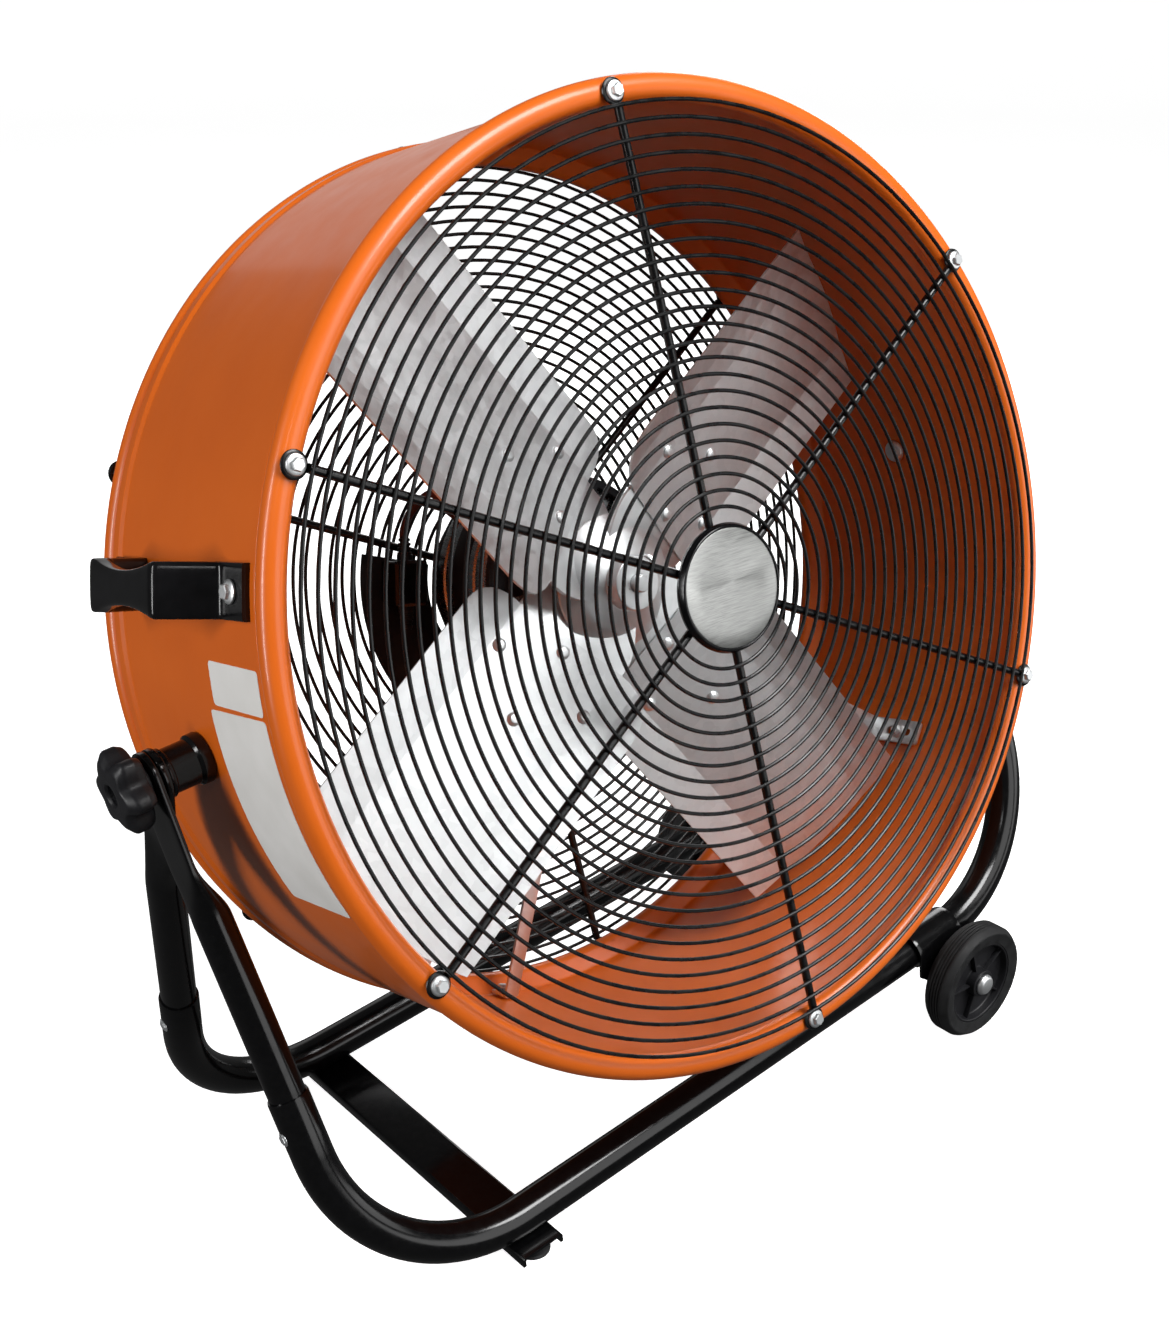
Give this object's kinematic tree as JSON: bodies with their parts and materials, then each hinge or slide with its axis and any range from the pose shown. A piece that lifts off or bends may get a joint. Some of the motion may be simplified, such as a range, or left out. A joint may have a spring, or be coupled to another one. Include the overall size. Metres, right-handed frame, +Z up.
{
  "type": "drum fan",
  "caption": "Wheeled drum fan: steel drum with wire guards and a sheet-bladed fan, tilting between two clamp knobs on a bent tube stand.",
  "frame": {"origin": "middle of the footprint, on the floor", "axes": "+Z up; -Y is the side that the air leaves from; +X is the wheels' side"},
  "size_m": [0.793, 0.425, 0.7827],
  "materials": {
    "orange_paint": "gloss powder coat",
    "black_wire": "gloss dipped wire",
    "black_enamel": "gloss enamel on tube",
    "galvanised_steel": "spangled zinc on sheet",
    "zinc_plate": "bright zinc plate",
    "cast_grey": "grey painted castings and can",
    "black_plastic": "moulded, fine texture",
    "black_rubber": "matt",
    "tyre_rubber": "ribbed tread",
    "badge_metal": "brushed, dark rim",
    "lead_sheath": "brown sheath"
  },
  "bodies": {
    "stand": {"front_lower_frame": "black_enamel", "front_left_leg": "black_enamel", "front_right_leg": "black_enamel", "front_rubber_foot": "black_rubber", "front_wheel_bracket": "black_enamel", "front_axle_cap": "zinc_plate", "rear_lower_frame": "black_enamel", "rear_left_leg": "black_enamel", "rear_right_leg": "black_enamel", "rear_rubber_foot": "black_rubber", "rear_wheel_bracket": "black_enamel", "rear_axle_cap": "zinc_plate", "foot_channel": "black_enamel", "wheel_axle": "zinc_plate"},
    "drum": {"drum_shell": "orange_paint", "front_guard": "black_wire", "front_guard_bolt_1": "zinc_plate", "front_guard_bolt_2": "zinc_plate", "front_guard_bolt_3": "zinc_plate", "front_guard_bolt_4": "zinc_plate", "front_guard_bolt_5": "zinc_plate", "front_guard_bolt_6": "zinc_plate", "guard_badge": "badge_metal", "rear_guard": "black_wire", "rear_guard_bolt_1": "zinc_plate", "rear_guard_bolt_2": "zinc_plate", "rear_guard_bolt_3": "zinc_plate", "rear_guard_bolt_4": "zinc_plate", "rear_guard_bolt_5": "zinc_plate", "rear_guard_bolt_6": "zinc_plate", "motor_can": "cast_grey", "motor_front_bell": "cast_grey", "motor_rear_bell": "cast_grey", "front_motor_cradle": "galvanised_steel", "rear_motor_cradle": "galvanised_steel", "switch_plate": "black_plastic", "switch_body": "black_plastic", "motor_lead_gland": "black_plastic", "mains_cord_gland": "black_plastic", "motor_lead": "lead_sheath", "carry_handle": "black_plastic", "left_pivot_spacer": "black_plastic", "left_pivot_bolt": "zinc_plate", "right_pivot_spacer": "black_plastic", "right_pivot_bolt": "zinc_plate"},
    "fan": {"fan_spider": "zinc_plate", "hub_set_bolt": "zinc_plate", "fan_blade_1": "galvanised_steel", "fan_blade_2": "galvanised_steel", "fan_blade_3": "galvanised_steel", "fan_blade_4": "galvanised_steel", "motor_shaft": "zinc_plate"},
    "front_wheel": {"front_tyre": "tyre_rubber", "front_wheel_hub": "black_plastic"},
    "rear_wheel": {"rear_tyre": "tyre_rubber", "rear_wheel_hub": "black_plastic"},
    "left_clamp": {"left_clamp_knob": "black_plastic"},
    "right_clamp": {"right_clamp_knob": "black_plastic"},
    "speed_switch": {"switch_knob": "black_plastic"}
  },
  "joints": [
    {"name": "drum_tilt", "type": "hinge", "parent": "stand", "child": "drum", "pos_m": [-0.00143, 0.00755, 0.42586], "axis": [0.9932, 0, 0.1167], "range_deg": [-75.5, 104.5]},
    {"name": "fan_spin", "type": "hinge", "parent": "drum", "child": "fan", "pos_m": [-0.00143, 0.00755, 0.42586], "axis": [0.0292, 0.9681, -0.2487], "continuous": true},
    {"name": "front_wheel_roll", "type": "hinge", "parent": "stand", "child": "front_wheel", "pos_m": [0.27029, -0.15945, 0.05], "axis": [0, 1, 0], "continuous": true},
    {"name": "rear_wheel_roll", "type": "hinge", "parent": "stand", "child": "rear_wheel", "pos_m": [0.27029, 0.17455, 0.05], "axis": [0, 1, 0], "continuous": true},
    {"name": "left_clamp_turn", "type": "hinge", "parent": "drum", "child": "left_clamp", "pos_m": [-0.37079, 0.00755, 0.38246], "axis": [-0.9932, 0, -0.1167], "range_deg": [0, 360]},
    {"name": "right_clamp_turn", "type": "hinge", "parent": "drum", "child": "right_clamp", "pos_m": [0.36793, 0.00755, 0.46926], "axis": [0.9932, 0, 0.1167], "range_deg": [0, 360]},
    {"name": "speed_switch_turn", "type": "hinge", "parent": "drum", "child": "speed_switch", "pos_m": [-0.096, 0.13192, 0.41235], "axis": [0.0292, 0.9681, -0.2487], "range_deg": [0, 120]}
  ]
}
